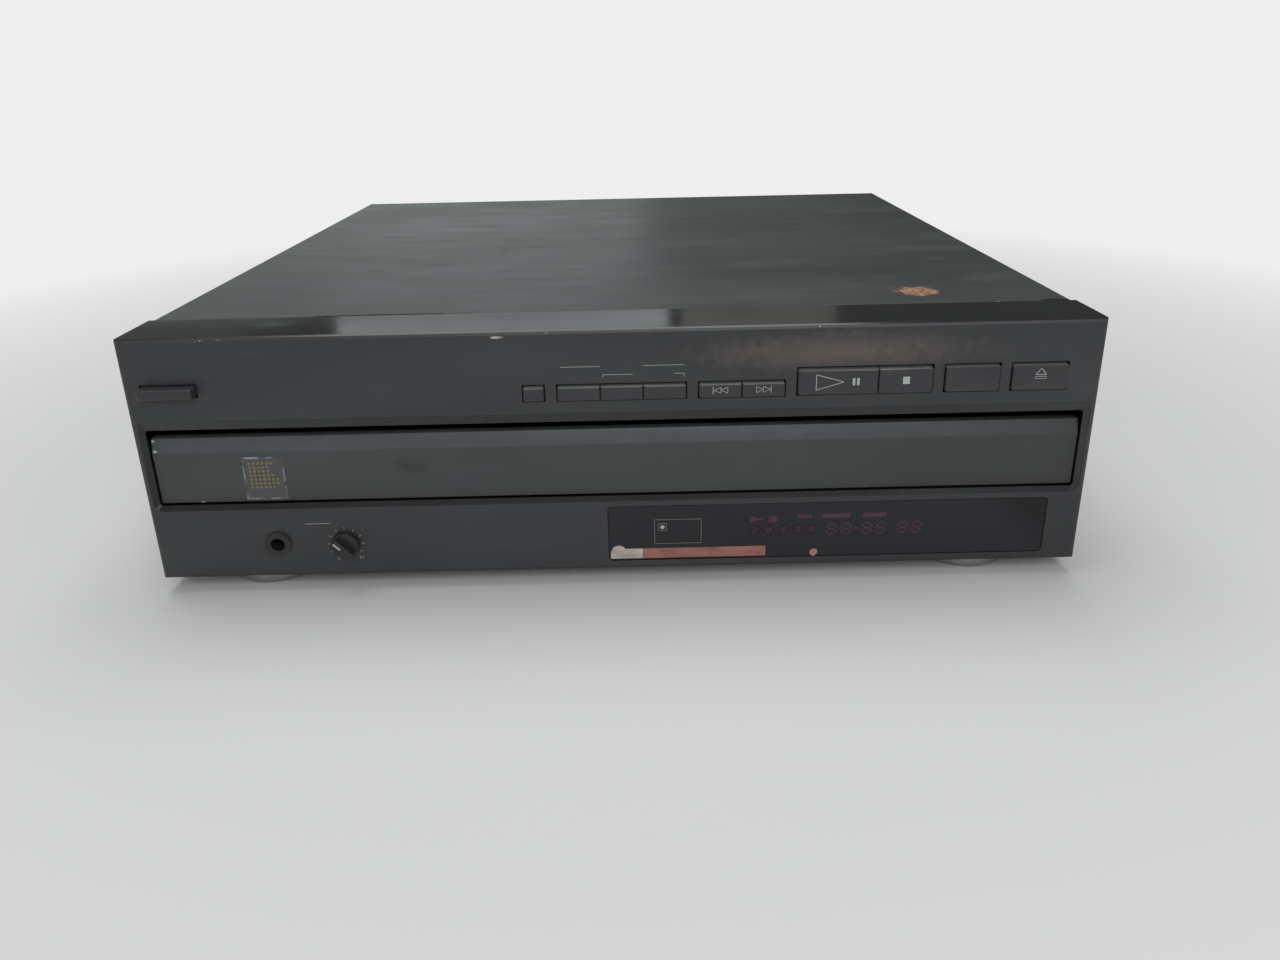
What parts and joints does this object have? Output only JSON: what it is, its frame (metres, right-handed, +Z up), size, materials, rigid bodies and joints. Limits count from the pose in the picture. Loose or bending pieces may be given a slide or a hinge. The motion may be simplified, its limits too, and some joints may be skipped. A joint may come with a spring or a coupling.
{
  "type": "multi disc player",
  "caption": "Full width hi-fi disc player with a sliding carousel drawer, display window, push buttons, headphone socket and a level knob, on round feet",
  "frame": {"origin": "on the ground below the middle of the player, at the bottom centre of its bounding box", "axes": "+X to the viewer's right along the front, +Y from the front to the back, +Z up"},
  "size_m": [0.43, 0.408, 0.126],
  "materials": {
    "face_plastic": "fine satin black-grey moulding",
    "drawer_plastic": "satin dark grey",
    "key_plastic": "satin dark grey",
    "smoked_window": "smoked, glossy",
    "cover_sheet": "textured grey paint",
    "zinc_sheet": "zinc plated",
    "bright_steel": "bright",
    "dark_screw": "blackened",
    "foot_metal_look": "metal coloured moulding",
    "circuit_board": "board laminate",
    "core_iron": "laminated core",
    "display_glass": "display tube, stands in for glass",
    "black_plastic": "black moulding",
    "grey_plastic": "grey moulding",
    "white_plastic": "white acetal",
    "belt_rubber": "black rubber",
    "lens_glass": "clear plastic lens"
  },
  "bodies": {
    "chassis": {"front_panel": "face_plastic", "display_window": "smoked_window", "top_cover": "cover_sheet", "bottom_chassis": "zinc_sheet", "rear_panel": "zinc_sheet", "clamp_bridge": "zinc_sheet", "loading_motor": "bright_steel", "cover_screw_left": "dark_screw", "cover_screw_middle": "dark_screw", "cover_screw_right": "dark_screw", "foot_front_left": "foot_metal_look", "foot_front_right": "foot_metal_look", "foot_rear_left": "foot_metal_look", "foot_rear_right": "foot_metal_look", "display_board": "circuit_board", "button_board": "circuit_board", "main_board": "circuit_board", "power_transformer": "core_iron", "display_tube": "display_glass", "power_switch": "black_plastic", "phono_sockets": "black_plastic", "cord_gland": "black_plastic", "headphone_socket": "black_plastic", "left_drawer_rail": "black_plastic", "right_drawer_rail": "black_plastic", "mechanism_deck": "black_plastic", "level_potentiometer": "grey_plastic", "loading_belt": "belt_rubber"},
    "drawer": {"drawer_front": "drawer_plastic", "drawer_tray": "black_plastic", "table_motor": "bright_steel"},
    "carousel": {"carousel": "black_plastic", "carousel_cap": "grey_plastic"},
    "table_gear": {"table_gear": "white_plastic"},
    "loading_gear": {"loading_gear": "white_plastic"},
    "pulley_gear": {"pulley_gear": "white_plastic"},
    "motor_pulley": {"motor_pulley": "white_plastic"},
    "clamp_puck": {"clamp_puck": "black_plastic"},
    "pickup": {"pickup_frame": "grey_plastic", "guide_rod": "bright_steel", "spindle_motor": "bright_steel", "sled_motor": "bright_steel"},
    "platform": {"disc_platform": "black_plastic"},
    "sled": {"pickup_sled": "black_plastic"},
    "sled_gear": {"sled_gear": "white_plastic"},
    "lens": {"pickup_lens": "lens_glass"},
    "lift_slider": {"lift_slider": "white_plastic"},
    "level_knob": {"level_knob": "key_plastic"},
    "time_button": {"time_button": "key_plastic"},
    "program_button": {"program_button": "key_plastic"},
    "shuffle_button": {"shuffle_button": "key_plastic"},
    "continue_button": {"continue_button": "key_plastic"},
    "previous_button": {"previous_button": "key_plastic"},
    "next_button": {"next_button": "key_plastic"},
    "play_button": {"play_button": "key_plastic"},
    "stop_button": {"stop_button": "key_plastic"},
    "disc_skip_button": {"disc_skip_button": "key_plastic"},
    "open_close_button": {"open_close_button": "key_plastic"},
    "power_button": {"power_button": "key_plastic"}
  },
  "joints": [
    {"name": "drawer_slide", "type": "slide", "parent": "chassis", "child": "drawer", "axis": [0, -1, 0], "range_m": [0, 0.27]},
    {"name": "carousel_spin", "type": "hinge", "parent": "drawer", "child": "carousel", "pos_m": [0, -0.0146, 0.0636], "axis": [0, 0, 1], "continuous": true},
    {"name": "table_gear_spin", "type": "hinge", "parent": "drawer", "child": "table_gear", "pos_m": [-0.057, -0.0146, 0.0504], "axis": [0, 0, 1], "continuous": true},
    {"name": "loading_gear_spin", "type": "hinge", "parent": "chassis", "child": "loading_gear", "pos_m": [0.1375, -0.131, 0.044], "axis": [0, 0, 1], "continuous": true},
    {"name": "pulley_gear_spin", "type": "hinge", "parent": "chassis", "child": "pulley_gear", "pos_m": [0.1135, -0.131, 0.0375], "axis": [0, 0, 1], "continuous": true},
    {"name": "motor_pulley_spin", "type": "hinge", "parent": "chassis", "child": "motor_pulley", "pos_m": [0.0735, -0.131, 0.0355], "axis": [0, 0, 1], "continuous": true},
    {"name": "pickup_lift", "type": "hinge", "parent": "chassis", "child": "pickup", "pos_m": [0, 0.178, 0.042], "axis": [-1, 0, 0], "range_deg": [0, 13]},
    {"name": "lift_slide", "type": "slide", "parent": "chassis", "child": "lift_slider", "axis": [1, 0, 0], "range_m": [0, 0.0401]},
    {"name": "platform_spin", "type": "hinge", "parent": "pickup", "child": "platform", "pos_m": [0, 0.08746, 0.0447], "axis": [0, -0.225, 0.9744], "continuous": true},
    {"name": "puck_spin", "type": "hinge", "parent": "chassis", "child": "clamp_puck", "pos_m": [0, 0.09039, 0.0718], "axis": [0, 0, 1], "continuous": true},
    {"name": "sled_slide", "type": "slide", "parent": "pickup", "child": "sled", "axis": [0, 0.9744, 0.225], "range_m": [0, 0.034]},
    {"name": "sled_gear_spin", "type": "hinge", "parent": "pickup", "child": "sled_gear", "pos_m": [0.033, 0.11835, 0.02648], "axis": [0, -0.225, 0.9744], "continuous": true},
    {"name": "lens_focus", "type": "slide", "parent": "sled", "child": "lens", "axis": [0, -0.225, 0.9744], "range_m": [-0.0007, 0.0007], "stiffness_N_per_m": 100},
    {"name": "time_press", "type": "slide", "parent": "chassis", "child": "time_button", "axis": [0, 1, 0], "range_m": [0, 0.0012], "stiffness_N_per_m": 800},
    {"name": "program_press", "type": "slide", "parent": "chassis", "child": "program_button", "axis": [0, 1, 0], "range_m": [0, 0.0012], "stiffness_N_per_m": 800},
    {"name": "shuffle_press", "type": "slide", "parent": "chassis", "child": "shuffle_button", "axis": [0, 1, 0], "range_m": [0, 0.0012], "stiffness_N_per_m": 800},
    {"name": "continue_press", "type": "slide", "parent": "chassis", "child": "continue_button", "axis": [0, 1, 0], "range_m": [0, 0.0012], "stiffness_N_per_m": 800},
    {"name": "previous_press", "type": "slide", "parent": "chassis", "child": "previous_button", "axis": [0, 1, 0], "range_m": [0, 0.0012], "stiffness_N_per_m": 800},
    {"name": "next_press", "type": "slide", "parent": "chassis", "child": "next_button", "axis": [0, 1, 0], "range_m": [0, 0.0012], "stiffness_N_per_m": 800},
    {"name": "play_press", "type": "slide", "parent": "chassis", "child": "play_button", "axis": [0, 1, 0], "range_m": [0, 0.0012], "stiffness_N_per_m": 800},
    {"name": "stop_press", "type": "slide", "parent": "chassis", "child": "stop_button", "axis": [0, 1, 0], "range_m": [0, 0.0012], "stiffness_N_per_m": 800},
    {"name": "disc_skip_press", "type": "slide", "parent": "chassis", "child": "disc_skip_button", "axis": [0, 1, 0], "range_m": [0, 0.0012], "stiffness_N_per_m": 800},
    {"name": "open_close_press", "type": "slide", "parent": "chassis", "child": "open_close_button", "axis": [0, 1, 0], "range_m": [0, 0.0012], "stiffness_N_per_m": 800},
    {"name": "power_press", "type": "slide", "parent": "chassis", "child": "power_button", "axis": [0, 1, 0], "range_m": [0, 0.0035], "stiffness_N_per_m": 500},
    {"name": "level_knob_turn", "type": "hinge", "parent": "chassis", "child": "level_knob", "pos_m": [-0.1269, -0.197, 0.0247], "axis": [0, 1, 0], "range_deg": [-105, 195]}
  ],
  "couplings": [
    {"joint": "table_gear_spin", "follows": "carousel_spin", "ratio": -5.3333},
    {"joint": "loading_gear_spin", "follows": "drawer_slide", "rad_per_m": -95.238},
    {"joint": "pulley_gear_spin", "follows": "drawer_slide", "rad_per_m": 285.71},
    {"joint": "motor_pulley_spin", "follows": "drawer_slide", "rad_per_m": 981.68},
    {"joint": "lift_slide", "follows": "pickup_lift", "m_per_rad": 0.1763},
    {"joint": "puck_spin", "follows": "platform_spin", "ratio": 1},
    {"joint": "sled_gear_spin", "follows": "sled_slide", "rad_per_m": -125}
  ]
}
